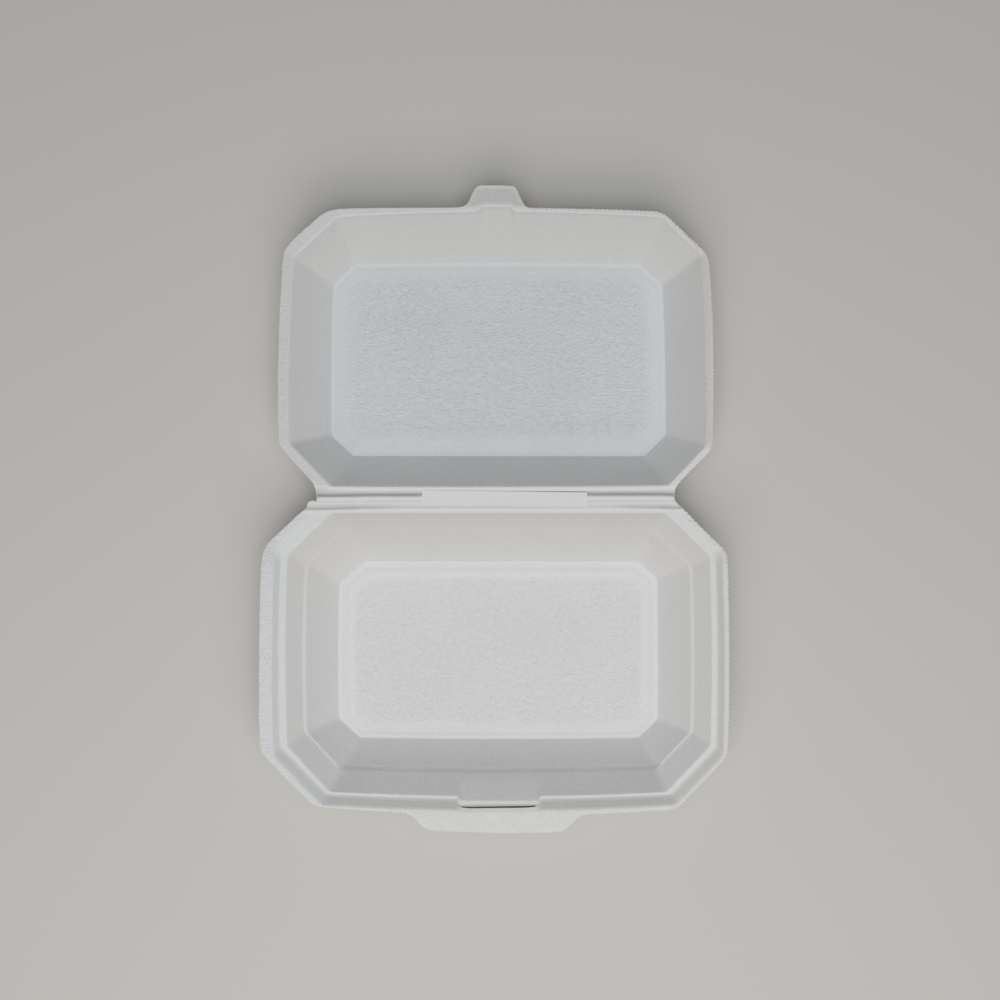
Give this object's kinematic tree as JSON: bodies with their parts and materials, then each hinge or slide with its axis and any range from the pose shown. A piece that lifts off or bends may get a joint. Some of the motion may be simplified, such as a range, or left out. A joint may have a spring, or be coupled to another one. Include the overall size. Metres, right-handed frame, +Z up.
{
  "type": "hinged foam food container",
  "caption": "Foam take-away container lying open: a tray with a rimmed shelf, a hinged lid with a locking tongue, and a slot behind the front tab.",
  "frame": {"origin": "centre of the tray's flat underside, on the surface it stands on", "axes": "+X along the hinge, +Y from the tray towards the open lid, +Z up"},
  "size_m": [0.234, 0.326, 0.042],
  "materials": {
    "foam": "matt, fine-celled expanded foam with a lightly pebbled skin",
    "paper": "matt, uncoated"
  },
  "bodies": {
    "tray": {"tray": "foam", "paper_slip": "paper"},
    "lid": {"lid": "foam"}
  },
  "joints": [
    {"name": "lid_hinge", "type": "hinge", "parent": "tray", "child": "lid", "pos_m": [0, 0.0758, 0.03865], "axis": [1, 0, 0], "range_deg": [0, 180.7], "deforming": ["paper_slip"]}
  ]
}
